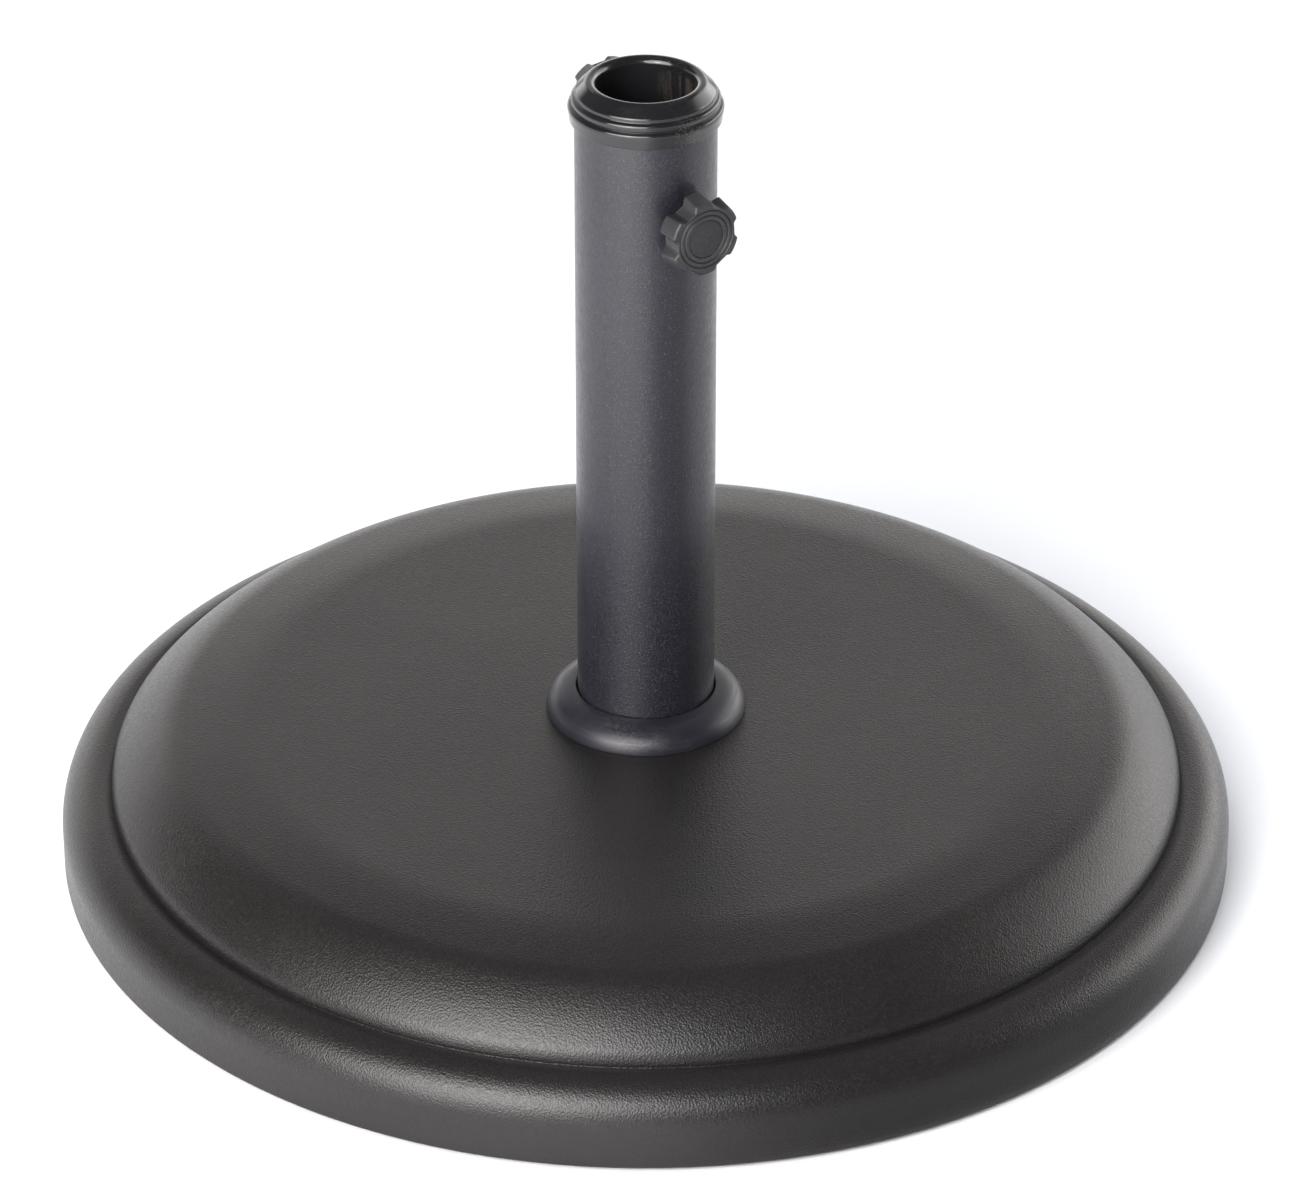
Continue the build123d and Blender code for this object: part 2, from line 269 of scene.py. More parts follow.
# ---- materials --------------------------------------------------------------------------------
def add_node(tree, kind, values=None, **settings):
    """A node with its settings; values are set on its inputs, and sockets are linked to them."""
    made = tree.nodes.new(kind)
    for key, value in settings.items():
        setattr(made, key, value)
    for key, value in (values or {}).items():
        if isinstance(value, bpy.types.NodeSocket):
            tree.links.new(value, made.inputs[key])
        else:
            made.inputs[key].default_value = value
    return made


def grey(red, green, blue):
    return (red, green, blue, 1.0)


def brighter(colour, factor):
    return grey(*(min(1.0, part * factor) for part in colour[:3]))


class Shader:
    """A small helper around one material's node tree; distances are in metres."""

    def __init__(self, name, specular=0.5, metallic=0.0, coat=0.0, coat_roughness=0.1):
        self.material = bpy.data.materials.new(name)
        self.material.use_nodes = True
        self.tree = self.material.node_tree
        self.surface = self.tree.nodes["Principled BSDF"]
        for socket, value in (
            ("Specular IOR Level", specular), ("Metallic", metallic),
            ("Coat Weight", coat), ("Coat Roughness", coat_roughness),
        ):
            self.surface.inputs[socket].default_value = value
        self.where = self.node("ShaderNodeTexCoord").outputs["Object"]
        self.normal = None

    def node(self, kind, values=None, **settings):
        return add_node(self.tree, kind, values, **settings)

    def stretched(self, scale):
        return self.node("ShaderNodeMapping", {"Vector": self.where, "Scale": scale}).outputs[0]

    def noise(self, scale, detail=3.0, roughness=0.55, where=None):
        values = {"Vector": where or self.where, "Scale": scale}
        values |= {"Detail": detail, "Roughness": roughness}
        return self.node("ShaderNodeTexNoise", values).outputs["Fac"]

    def cells(self, scale, **settings):
        """The node itself, as a caller may set its smoothness."""
        values = {"Vector": self.where, "Scale": scale}
        return self.node("ShaderNodeTexVoronoi", values, **settings)

    def span(self, value, low, high, out_low=0.0, out_high=1.0):
        """The value taken from low..high to out_low..out_high, with soft ends."""
        values = {0: value, 1: low, 2: high, 3: out_low, 4: out_high}
        return self.node("ShaderNodeMapRange", values, interpolation_type="SMOOTHSTEP").outputs[0]

    def maths(self, operation, a, b):
        return self.node("ShaderNodeMath", {0: a, 1: b}, operation=operation).outputs[0]

    def times(self, a, b):
        return self.maths("MULTIPLY", a, b)

    def blend(self, amount, a, b):
        """Colour a where amount is 0, colour b where it is 1."""
        return self.node("ShaderNodeMix", {0: amount, 6: a, 7: b}, data_type="RGBA").outputs[2]

    def mottled(self, scale, detail, dark, light):
        """Variation between two shades."""
        return self.blend(self.span(self.noise(scale, detail), 0.3, 0.7), dark, light)

    def patches(self, broad, fine):
        """Where a broad and a fine noise are both high; each is (scale, detail, low, high)."""
        masks = [
            self.span(self.noise(scale, detail), low, high) for scale, detail, low, high in (broad, fine)
        ]
        return self.times(*masks)

    def spot(self, centre, inner, outer):
        """1 around a point, fading to 0 between the two distances."""
        far = self.node("ShaderNodeVectorMath", {0: self.where, 1: centre}, operation="DISTANCE")
        return self.span(far.outputs["Value"], inner, outer, 1.0, 0.0)

    def bump(self, height, distance, strength=1.0):
        """Relief on top of what is there already; distance is its height in metres."""
        values = {"Height": height, "Distance": distance, "Strength": strength}
        if self.normal:
            values["Normal"] = self.normal
        self.normal = self.node("ShaderNodeBump", values).outputs[0]

    def done(self, colour, roughness):
        links = self.tree.links
        links.new(colour, self.surface.inputs["Base Color"])
        links.new(roughness, self.surface.inputs["Roughness"])
        links.new(self.normal, self.surface.inputs["Normal"])
        return self.material


def grained_plastic(name):
    """Moulded plastic with a fine leathery grain, light specks and a trace of dust."""
    grain = 1150.0              # grains to the metre
    roughness = 0.325
    light = grey(0.0138, 0.0128, 0.0126)
    s = Shader(name)
    colour = s.mottled(14.0, 4.0, grey(0.0112, 0.0103, 0.0102), light)
    specks = s.span(s.noise(grain * 1.3, 2.0), 0.52, 0.72, 0.0, 0.55)
    colour = s.blend(specks, colour, brighter(light, 2.2))
    dust = s.patches((9.0, 5.0, 0.52, 0.75), (420.0, 3.0, 0.45, 0.7))
    colour = s.blend(s.times(dust, 0.05), colour, grey(0.32, 0.3, 0.28))
    waviness = s.noise(35.0, 2.0)
    s.bump(waviness, 0.00025, 0.35)
    pebbles = s.cells(grain, feature="SMOOTH_F1")
    pebbles.inputs["Smoothness"].default_value = 0.4
    fine = s.times(s.noise(grain * 2.2, 2.0), 0.5)
    s.bump(s.maths("ADD", pebbles.outputs["Distance"], fine), 0.00012)
    rough = s.span(s.noise(grain * 0.6), 0.3, 0.7, roughness - 0.05, roughness + 0.06)
    return s.done(colour, rough)


def powder_coat(name):
    """Satin powder coat: orange peel, faint specks and broad shade variation."""
    roughness = 0.41
    s = Shader(name, coat=0.45, coat_roughness=0.2)
    colour = s.mottled(22.0, 3.0, grey(0.0080, 0.0081, 0.0142), grey(0.0106, 0.0107, 0.0178))
    specks = s.span(s.noise(1900.0, 2.0), 0.54, 0.74, 0.0, 0.45)
    colour = s.blend(specks, colour, grey(0.13, 0.132, 0.14))
    orange_peel, powder = s.noise(420.0, 2.0, 0.4), s.noise(1200.0, 2.0)
    s.bump(orange_peel, 0.00009, 0.9)
    s.bump(powder, 0.00020)
    rough = s.span(s.noise(260.0), 0.3, 0.7, roughness - 0.04, roughness + 0.05)
    return s.done(colour, rough)


def moulded(name, dark, light, roughness, dust, edge_paling=0.0):
    """Smooth moulded plastic with flow marks, fine scratches, a little dust and paler convex edges."""
    s = Shader(name)
    colour = s.mottled(40.0, 4.0, dark, light)
    # sharp convex edges are painted paler, by up to this share
    if edge_paling:
        pointed = s.node("ShaderNodeNewGeometry").outputs["Pointiness"]
        colour = s.blend(s.span(pointed, 0.53, 0.62, 0.0, edge_paling), colour, brighter(light, 3.2))
    specks = s.patches((26.0, 5.0, 0.5, 0.72), (900.0, 3.0, 0.4, 0.7))
    colour = s.blend(s.times(specks, dust), colour, grey(0.42, 0.4, 0.38))
    flow_marks, skin = s.noise(160.0, 2.0), s.noise(1900.0, 2.0)
    s.bump(flow_marks, 0.00004, 0.6)
    s.bump(skin, 0.000025, 0.5)
    scratches = s.noise(60.0, 2.0, 0.6, s.stretched((1.0, 1.0, 22.0)))
    rough = s.span(scratches, 0.3, 0.72, roughness - 0.04, roughness + 0.08)
    return s.done(colour, rough)


def cap_gloss(name):
    """Glossy moulded plastic with dusty streaks down one side of the bore and smudged rings."""
    bore_dust, dust_top = (0.0195, 0.0035, 0.346), (0.3515, 0.3545)
    ring_smudge = (0.0, -0.031, 0.345)
    s = Shader(name, coat=0.35)
    colour = s.mottled(40.0, 4.0, grey(0.0095, 0.0096, 0.011), grey(0.0145, 0.0145, 0.016))
    streaks = s.span(s.noise(260.0, 4.0, 0.6, s.stretched((1.0, 1.0, 0.06))), 0.42, 0.66)
    height = s.node("ShaderNodeSeparateXYZ", {0: s.where}).outputs["Z"]
    below = s.span(height, *dust_top, 1.0, 0.0)
    dust = s.times(s.times(s.spot(bore_dust, 0.004, 0.014), streaks), below)
    colour = s.blend(s.times(dust, 0.17), colour, grey(0.30, 0.25, 0.20))
    smudge = s.times(s.spot(ring_smudge, 0.002, 0.011), s.span(s.noise(1100.0, 5.0), 0.42, 0.66))
    colour = s.blend(s.times(smudge, 0.10), colour, grey(0.34, 0.32, 0.28))
    specks = s.patches((30.0, 4.0, 0.5, 0.7), (1300.0, 2.0, 0.6, 0.75))
    colour = s.blend(s.times(specks, 0.2), colour, grey(0.35, 0.34, 0.33))
    flow_marks, skin = s.noise(120.0, 2.0), s.noise(1700.0, 2.0)
    s.bump(flow_marks, 0.00003, 0.5)
    s.bump(skin, 0.00002, 0.4)
    rough = s.span(s.noise(500.0, 4.0), 0.3, 0.75, 0.14, 0.24)
    duller = s.times(s.maths("ADD", dust, smudge), 0.3)
    return s.done(colour, s.maths("ADD", rough, duller))


def zinc(name):
    """Zinc-plated steel with a faint crystalline mottle and brush marks."""
    s = Shader(name, metallic=1.0)
    crystals = s.span(s.cells(700.0).outputs["Distance"], 0.1, 0.7)
    colour = s.blend(crystals, grey(0.58, 0.585, 0.6), grey(0.42, 0.42, 0.41))
    dull = s.span(s.noise(120.0, 5.0), 0.55, 0.75, 0.0, 0.5)
    colour = s.blend(dull, colour, grey(0.3, 0.29, 0.27))
    brush_marks = s.noise(900.0, 3.0, 0.6, s.stretched((1.0, 1.0, 8.0)))
    s.bump(brush_marks, 0.00003, 0.6)
    return s.done(colour, s.span(s.noise(240.0, 4.0), 0.3, 0.7, 0.26, 0.46))


def cast_concrete(name):
    """Grey cast concrete with sand, darker damp patches and small air holes, painted dark inside as
    shade.
    """
    s = Shader(name, specular=0.35)
    colour = s.mottled(18.0, 6.0, grey(0.33, 0.32, 0.3), grey(0.5, 0.49, 0.46))
    sand = s.span(s.noise(900.0, 2.0), 0.5, 0.7, 0.0, 0.55)
    colour = s.blend(sand, colour, grey(0.2, 0.19, 0.175))
    # the air holes are painted dark: painted shade in the pits
    solid = s.span(s.cells(160.0).outputs["Distance"], 0.04, 0.16)
    colour = s.blend(solid, grey(0.12, 0.115, 0.11), colour)
    lumps, holes_and_sand = s.noise(120.0, 6.0), s.maths("ADD", solid, s.noise(1400.0))
    s.bump(lumps, 0.0006, 0.7)
    s.bump(holes_and_sand, 0.00025, 0.6)
    return s.done(colour, s.span(s.noise(60.0, 4.0), 0.3, 0.7, 0.82, 0.95))


def rubber(name):
    """Black rubber with a fine cast skin and dusty, worn patches."""
    s = Shader(name, specular=0.35)
    shade = s.span(s.noise(90.0, 4.0), 0.35, 0.7)
    colour = s.blend(shade, grey(0.018, 0.018, 0.018), grey(0.04, 0.039, 0.037))
    dust = s.span(s.noise(500.0), 0.6, 0.8, 0.0, 0.3)
    colour = s.blend(dust, colour, grey(0.16, 0.15, 0.14))
    skin = s.noise(1600.0)
    s.bump(skin, 0.00008, 0.7)
    return s.done(colour, s.span(s.noise(300.0), 0.3, 0.7, 0.62, 0.78))


MATERIALS = {
    "shell_plastic": grained_plastic("shell_plastic"),
    "tube_coating": powder_coat("tube_coating"),
    "cap_plastic": cap_gloss("cap_plastic"),
    "collar_plastic": moulded(
        "collar_plastic", grey(0.013, 0.0128, 0.0195), grey(0.018, 0.0176, 0.0250), 0.37, 0.08),
    "knob_plastic": moulded(
        "knob_plastic", grey(0.024, 0.024, 0.026), grey(0.031, 0.031, 0.033), 0.44, 0.12, edge_paling=0.35),
    "disc_plastic": moulded(
        "disc_plastic", grey(0.015, 0.0145, 0.0175), grey(0.02, 0.0193, 0.0225), 0.42, 0.1),
    "guide_plastic": moulded(
        "guide_plastic", grey(0.018, 0.018, 0.019), grey(0.028, 0.028, 0.03), 0.45, 0.3),
    "nylon": moulded("nylon", grey(0.62, 0.6, 0.54), grey(0.7, 0.68, 0.61), 0.42, 0.1),
    "zinc_steel": zinc("zinc_steel"),
    "concrete": cast_concrete("concrete"),
    "glide_rubber": rubber("glide_rubber"),
}

# ---- foot -------------------------------------------------------------------------------------
rim_z = RIM_TOP - RIM_ROUND
wall_r = FOOT_R - SHELL_T
side = dome()
crease_r = side[-1][0]
crease = [
    (crease_r - 0.06, CREASE_Z + 0.35), (crease_r + 0.1, CREASE_Z + 0.02),
    (crease_r + 0.6, CREASE_Z + 0.2),
]
pocket_edge = [(POCKET_R, PLATEAU_Z - 6), (POCKET_R, PLATEAU_Z, 0.8), (PLATEAU_R, PLATEAU_Z)]
outside = (
    rounded(pocket_edge)[1:-1]
    + split([(POCKET_R + 1.0, PLATEAU_Z), (PLATEAU_R, PLATEAU_Z)], 4.0)[:-1]
    + side[:-1]
    + crease
    + arc((FOOT_R - RIM_ROUND, rim_z), RIM_ROUND, 90, 0, 26)
    + split([(FOOT_R, rim_z - 1.0), (FOOT_R, SKIRT_Z + 1.0)], 4.0)
    + arc((FOOT_R - SKIRT_EDGE, SKIRT_Z + SKIRT_EDGE), SKIRT_EDGE, 0, -90, 5)
    + arc((wall_r + SKIRT_INNER_EDGE, SKIRT_Z + SKIRT_INNER_EDGE), SKIRT_INNER_EDGE, -90, -180, 4)
)
inside = [
    (wall_r, rim_z), (FOOT_R - RIM_ROUND, RIM_TOP - SHELL_T),
    (crease_r - SHELL_T, CREASE_Z - SHELL_T), (PLATEAU_R + 20, PLATEAU_Z - SHELL_T - 6),
    (PLATEAU_R, PLATEAU_Z - SHELL_T), (POCKET_R, PLATEAU_Z - SHELL_T),
]
piece(
    "foot_shell", lathe("foot_shell", outside + inside, 512, sharp=40),
    MATERIALS["shell_plastic"], "base", "base_shell",
)


def cast_face(angle, r, z):
    """Roughness of the concrete's open underside: a slow swell and small pits."""
    if z > FILL_Z + 0.01 or r < RECESS_R + 2:
        return r, z
    at = Vector((r * cos(angle), r * sin(angle), 0.0))
    swell = 0.5 + 0.5 * noise.noise(at / 38.0)
    pits = max(0.0, noise.noise(at / 4.5) - 0.25)
    return r, z + 0.7 * swell + 1.8 * pits


fill_top = PLATEAU_Z - SHELL_T - FIT
recess_edge = [(RECESS_R + 1.5, FILL_Z), (RECESS_R, FILL_Z, 1.2), (RECESS_R, RECESS_Z)]
core = (
    [(wall_r, FILL_Z + 20.0)]
    + split([(wall_r - FIT, FILL_Z + 1.5), (wall_r - 1.2, FILL_Z)], 1.0)
    + split([(wall_r - 1.8, FILL_Z), (RECESS_R + 1.5, FILL_Z)], 1.9)
    + rounded(recess_edge)[1:-1]
    + [
        (RECESS_R, RECESS_Z), (FERRULE_R, RECESS_Z), (FERRULE_R, PLATE_Z), (POCKET_R, PLATE_Z),
        (POCKET_R, fill_top), (PLATEAU_R, fill_top), (crease_r - SHELL_T, CREASE_Z - SHELL_T - FIT),
    ]
)
piece(
    "concrete_fill", lathe("concrete_fill", core, 420, shape=cast_face),
    MATERIALS["concrete"], "base", "concrete_core",
)

# a recessed middle, a narrow ring, a groove and the wide ring that stands on the floor
tread = rounded([
    (3.0, 0.7), (3.6, 0.15, 0.4), (6.4, 0.15, 0.4), (7.0, 0.7, 0.3), (8.6, 0.7, 0.3), (9.2, 0.0, 0.4),
    (GLIDE_R, 0.0, 0.9), (GLIDE_R, GLIDE_T, 0.25),
], 4)
for number in range(1, GLIDES + 1):
    angle = radians((number - 0.5) * 360 / GLIDES)
    place = Matrix.Translation((GLIDE_RING_R * cos(angle), GLIDE_RING_R * sin(angle), 0))
    piece(
        f"rubber_glide_{number}",
        lathe("rubber_glide", [(0, 0.7)] + tread + [(0, GLIDE_T)], 96, place),
        MATERIALS["glide_rubber"], "base", f"glide_{number}",
    )

# ---- fixing under the foot ----------------------------------------------------------------------
washer = rounded([
    (WASHER_BORE, RECESS_Z - WASHER_T, 0.3), (WASHER_R, RECESS_Z - WASHER_T, 0.5),
    (WASHER_R, RECESS_Z, 0.3), (WASHER_BORE, RECESS_Z, 0.2),
])
piece(
    "plate_washer", lathe("plate_washer", washer, 128),
    MATERIALS["zinc_steel"], "base", "fixing_washer",
)

flat_r, corner_r = BOLT_AF / 2, BOLT_AF / sqrt(3)
head_top = RECESS_Z - WASHER_T
head_z = head_top - BOLT_HEAD
head_levels = (0.1, 0.25, 0.4, 0.6, 0.8, 1.0, 1.3, 2.5, 4.0, BOLT_HEAD - 0.3)


def hexagon(angle, r, z):
    """Hexagonal outline for the bolt head, with the usual turned corners."""
    if r < BOLT_R + 0.5 or z > head_top + 0.01:
        return r, z
    across = flat_r / cos((angle + pi / 6) % (pi / 3) - pi / 6)
    cone = flat_r * 0.94 + (z - head_z) * 1.75
    return min(across, cone, r), z


bolt = (
    [(0, head_z + 0.5), (flat_r * 0.55, head_z + 0.5), (flat_r * 0.62, head_z)]
    + [(flat_r * part, head_z) for part in (0.7, 0.8, 0.94)]
    + [(corner_r + 0.1, head_z + level) for level in head_levels]
    + [(flat_r * 0.97, head_top), (BOLT_R, head_top)]
    + [(BOLT_R, BOLT_END - 1.0), (BOLT_R - 1.0, BOLT_END), (0, BOLT_END)]
)
piece(
    "hex_bolt", lathe("hex_bolt", bolt, 180, shape=hexagon, sharp=25),
    MATERIALS["zinc_steel"], "base", "fixing_bolt",
)


# ---- tube, guide, collar and cap ----------------------------------------------------------------
def bore_cutter(height, heading, reach):
    """Round bar along a clamp screw, from inside the pole's bore out to this reach."""
    start = 5.0
    outline = [(0, start), (HOLE_R, start), (HOLE_R, reach), (0, reach)]
    return lathe("bore_cutter", outline, 64, station(height, heading))


def pocket_cutter(height, heading):
    """Block that clears the pocket of a square nut."""
    half = NUT_SIDE / 2 + NUT_PLAY
    ends = (NUT_INNER - NUT_PLAY, SLEEVE_R + 0.3)
    place = station(height, heading)
    verts = [place @ Vector((x, y, z)) for z in ends for y in (-half, half) for x in (-half, half)]
    faces = [(0, 1, 3, 2), (4, 6, 7, 5), (0, 4, 5, 1), (2, 3, 7, 6), (0, 2, 6, 4), (1, 5, 7, 3)]
    return mesh_from("pocket_cutter", verts, faces)


# the rings lie closer together around the screws' holes
tube_inner_r, holes_z = TUBE_R - TUBE_WALL, SLEEVE_Z + 4.0
tube_outline = (
    split([(TUBE_R, TUBE_Z0 + 0.3), (TUBE_R, SLEEVE_Z)], 12.0)
    + split([(TUBE_R, holes_z), (TUBE_R, TUBE_Z1 - 0.3)], 2.5)
    + [(TUBE_R - 0.3, TUBE_Z1), (tube_inner_r, TUBE_Z1)]
    + split([(tube_inner_r, TUBE_Z1 - 0.5), (tube_inner_r, holes_z)], 2.5)
    + [(tube_inner_r, TUBE_Z0), (TUBE_R - 0.3, TUBE_Z0)]
)
past_tube = TUBE_R + 3.0
tube_mesh = cut(
    lathe("steel_tube", tube_outline, 256),
    [bore_cutter(height, heading, past_tube) for _, height, heading, _, _ in CLAMPS],
)
piece("steel_tube", tube_mesh, MATERIALS["tube_coating"], "base", "tube")

guide = rounded([
    (0, GUIDE_FLOOR), (POLE_R - 0.01, GUIDE_FLOOR, 1.0), (POLE_R, GUIDE_TOP - GUIDE_LEAD, 1.5),
    (POLE_R + GUIDE_LEAD, GUIDE_TOP, 0.5), (GUIDE_R, GUIDE_TOP, 0.5), (GUIDE_R, TUBE_Z0, 0.4),
    (GUIDE_HOLLOW_R, TUBE_Z0, 0.4), (GUIDE_HOLLOW_R, GUIDE_FLOOR - GUIDE_FLOOR_T, 1.0),
    (0, GUIDE_FLOOR - GUIDE_FLOOR_T),
])
piece(
    "pole_guide_cup", lathe("pole_guide_cup", guide, 192),
    MATERIALS["guide_plastic"], "base", "pole_guide",
)

collar_z = PLATEAU_Z + COLLAR_GAP
collar_top = collar_z + COLLAR_H
collar_width = COLLAR_R - COLLAR_BORE
collar_foot = (COLLAR_BORE, collar_z)
inner_size = (collar_width - COLLAR_WALL, COLLAR_H - COLLAR_WALL)
collar = (
    [(COLLAR_R - 0.35, collar_z), (COLLAR_R - 0.08, collar_z + 0.12)]
    + arc(collar_foot, (collar_width, COLLAR_H), 2.5, 86.0, 28)
    + [(COLLAR_BORE + 0.3, collar_top - 0.02), (COLLAR_BORE, collar_top - 0.35)]
    + [(COLLAR_BORE, collar_top - COLLAR_WALL)]
    + arc(collar_foot, inner_size, 86.0, 2.0, 16)
    + [(COLLAR_R - COLLAR_WALL, collar_z)]
)
piece(
    "loose_collar", lathe("loose_collar", collar, 320),
    MATERIALS["collar_plastic"], "collar", "collar_ring",
)

cap_outline = (
    split([(POLE_R, SLEEVE_Z + SLEEVE_EDGE), CAP_MOUTH], 2.5)
    + arc3(CAP_MOUTH, MOUTH_ROUND, CAP_CREST, 12)[1:]
    + arc3(CAP_CREST, CROWN_ROUND, CAP_CROWN, 8)[1:]
    + split([CAP_CROWN, CAP_SHOULDER], 0.7)[1:-1]
    + arc3(CAP_SHOULDER, SHOULDER_ROUND, SHOULDER_FOOT, 6)
    + UPPER_GROOVE
    + arc3(MIDDLE_START, MIDDLE_ROUND, MIDDLE_RING, 8)
    + LOWER_GROOVE
    + arc3(LOWER_START, LOWER_ROUND, LOWER_RING, 8)
    + arc3(LOWER_RING, BAND_ROUND, BAND_TOP, 5)[1:]
    + BAND
    + arc((CAP_LIP_R - CAP_LIP_EDGE, CAP_LIP_Z + CAP_LIP_EDGE), CAP_LIP_EDGE, -5, -85, 4)
    + [LIP_FOOT, (CAP_SKIRT_R + 0.25, CAP_LIP_Z), (CAP_SKIRT_R, CAP_LIP_Z + 0.25)]
    + [(CAP_SKIRT_R, TUBE_Z1), (SLEEVE_R, TUBE_Z1)]
    + split([(SLEEVE_R, TUBE_Z1 - 1.0), (SLEEVE_R, SLEEVE_Z + SLEEVE_EDGE)], 4.0)
    + [(SLEEVE_R - SLEEVE_EDGE, SLEEVE_Z), (POLE_R + SLEEVE_EDGE, SLEEVE_Z)]
)
inside_pocket = 26.0
cap_mesh = cut(
    lathe("pole_cap", cap_outline, 320),
    [bore_cutter(height, heading, inside_pocket) for _, height, heading, _, _ in CLAMPS]
    + [pocket_cutter(height, heading) for _, height, heading, _, _ in CLAMPS],
)
piece("pole_cap", cap_mesh, MATERIALS["cap_plastic"], "base", "top_cap")


# ---- clamp screws -------------------------------------------------------------------------------
def soft_min(a, b, size):
    """The smaller number, with a soft change-over where the two differ by less than size."""
    h = max(0.0, size - abs(a - b)) / size
    return min(a, b) - h * h * size / 4


def soft_max(a, b, size):
    return -soft_min(-a, -b, size)


def lobed(angle, turn, lobe_r, inset):
    """Radius of the lobed outline at an angle; inset bevels the lobes' flanks."""
    from_valley = abs((angle - radians(turn)) % (2 * pi / LOBES) - pi / LOBES)
    floor_r = (VALLEY_R + 0.4 * inset) / cos(from_valley)
    opening = VALLEY_SLOPE * cos(from_valley) - sin(from_valley)
    flank_r = 1000.0            # far outside, where the flank is out of reach
    if opening > 0.05:
        flank = VALLEY_SLOPE * VALLEY_R - VALLEY_HALF - inset * hypot(1.0, VALLEY_SLOPE)
        flank_r = flank / opening
    return soft_min(soft_max(floor_r, flank_r, 0.8), lobe_r, 0.9)


def knob_levels(rear):
    """Depth, radius of the lobes and inset of their flanks, from the knob's back to its face."""
    side_start, side_end = rear + 0.6, rear + KNOB_DEPTH - LOBE_EDGE
    levels = [
        (rear, LOBE_REAR_R - 0.6, 0.55), (rear + 0.08, LOBE_REAR_R - 0.3, 0.28),
        (rear + 0.28, LOBE_REAR_R - 0.08, 0.08), (side_start, LOBE_REAR_R, 0.0),
    ]
    steps = 8
    for k in range(1, steps + 1):
        t = k / steps
        lobe_r = LOBE_REAR_R + (LOBE_FRONT_R - LOBE_REAR_R) * t
        levels.append((side_start + (side_end - side_start) * t, lobe_r, 0.0))
    for k in range(1, steps + 1):
        a = radians(90 * k / steps)
        inwards = 1 - cos(a)
        levels.append((side_end + LOBE_EDGE * sin(a), LOBE_FRONT_R - 1.3 * inwards, 0.9 * inwards))
    return levels


def knob_face(face):
    """Outline of the face, from its edge over the ring grooves into the disc's recess."""
    # half of a groove: distance from its middle, depth
    flank = [(0.44, 0.02), (0.34, 0.12), (0.12, 0.6)]
    across = flank + [(0.0, 0.68)] + [(-aside, down) for aside, down in reversed(flank)]
    recess_start = DISC_R + 0.5
    outline = [(FACE_R, face)]
    for groove_r in RING_GROOVES:
        outline += [(groove_r + aside, face - down) for aside, down in across]
        outline += [(groove_r - 0.55, face), (groove_r - 1.0, face)]
    outline = [point for point in outline if point[0] > recess_start]
    outline += [(DISC_R + 0.45, face), (DISC_R + 0.15, face - 0.1)]
    return outline + [(DISC_R, face - RECESS_LEAD), (DISC_R, face - RECESS_DEPTH)]


def knob_mesh(name, height, heading, turn, rear):
    """Six-lobed knob with bevelled edges, ringed face and recess for its disc."""
    face = rear + KNOB_DEPTH
    segments = 432
    angles = [2 * pi * k / segments for k in range(segments)]
    place = station(height, heading)
    rings = [[place @ Vector((0, 0, rear))], *turned([(STUD_R + 0.6, rear)], segments, place)]
    for depth, lobe_r, inset in knob_levels(rear):
        radii = [lobed(a, turn, lobe_r, inset) for a in angles]
        rings.append([
            place @ Vector((r * cos(a), r * sin(a), depth)) for r, a in zip(radii, angles)
        ])
    rings += turned(knob_face(face), segments, place)
    rings.append([place @ Vector((0, 0, face - RECESS_DEPTH))])
    verts, faces = loft(rings, False)
    return mesh_from(name, verts, faces, sharp=38)


def disc_mesh(name, height, heading, rear):
    """Dished centre disc in the knob's recess."""
    face = rear + KNOB_DEPTH
    edge_r, edge_z, steps = DISC_R - DISC_PLAY, face - RECESS_LEAD, 12
    parts = [1 - k / steps for k in range(steps)]
    bowl = [(edge_r * part - 0.2 * part, edge_z - DISC_DISH * (1 - part ** 2)) for part in parts]
    outline = (
        [(0, face - RECESS_DEPTH), (edge_r, face - RECESS_DEPTH)]
        + [(edge_r, edge_z - 0.22), (edge_r - 0.06, edge_z - 0.06)]
        + bowl
        + [(0, edge_z - DISC_DISH)]
    )
    return lathe(name, outline, 144, station(height, heading), sharp=50)


def stud_mesh(name, height, heading, rear):
    """Threaded stud with a helical M8 thread and a plain pin at its inner end."""
    place = station(height, heading)
    segments, rings_per_pitch = 48, 12
    pin_end, end = STUD_INNER - PIN_LENGTH, rear + STUD_HOLD
    pin = [(PIN_R - 0.2, pin_end), (PIN_R, pin_end + 0.2), (PIN_R, STUD_INNER)]
    rings = [[place @ Vector((0, 0, pin_end))], *turned(pin, segments, place)]
    count = int((end - STUD_INNER) / PITCH * rings_per_pitch)
    for i in range(count + 1):
        z = STUD_INNER + (end - STUD_INNER) * i / count
        run_in = min(1.0, (z - STUD_INNER) / 0.7)
        largest = THREAD_ROOT_R + (STUD_R - THREAD_ROOT_R) * run_in
        ring = []
        for k in range(segments):
            a = 2 * pi * k / segments
            phase = (z / PITCH - a / (2 * pi)) % 1.0
            flank = min(1.0, max(0.0, (0.5 - abs(phase - 0.5)) * 2.7 - 0.12))
            r = min(largest, THREAD_ROOT_R + (STUD_R - 0.02 - THREAD_ROOT_R) * flank)
            ring.append(place @ Vector((r * cos(a), r * sin(a), z)))
        rings.append(ring)
    rings.append([place @ Vector((0, 0, end))])
    verts, faces = loft(rings, False)
    return mesh_from(name, verts, faces, sharp=60)


def tip_mesh(name, height, heading):
    """Nylon thrust tip with a socket for the stud's pin."""
    tip_end, socket_r = STUD_INNER - PIN_FIT, PIN_R + PIN_FIT
    socket_end = tip_end - PIN_LENGTH
    outline = [(0, TIP_INNER)] + rounded([
        (TIP_R * 0.55, TIP_INNER), (TIP_R, TIP_INNER, 0.5), (TIP_R, tip_end, 0.25),
        (socket_r, tip_end, 0.15),
    ]) + [(socket_r, socket_end), (0, socket_end)]
    return lathe(name, outline, 96, station(height, heading))


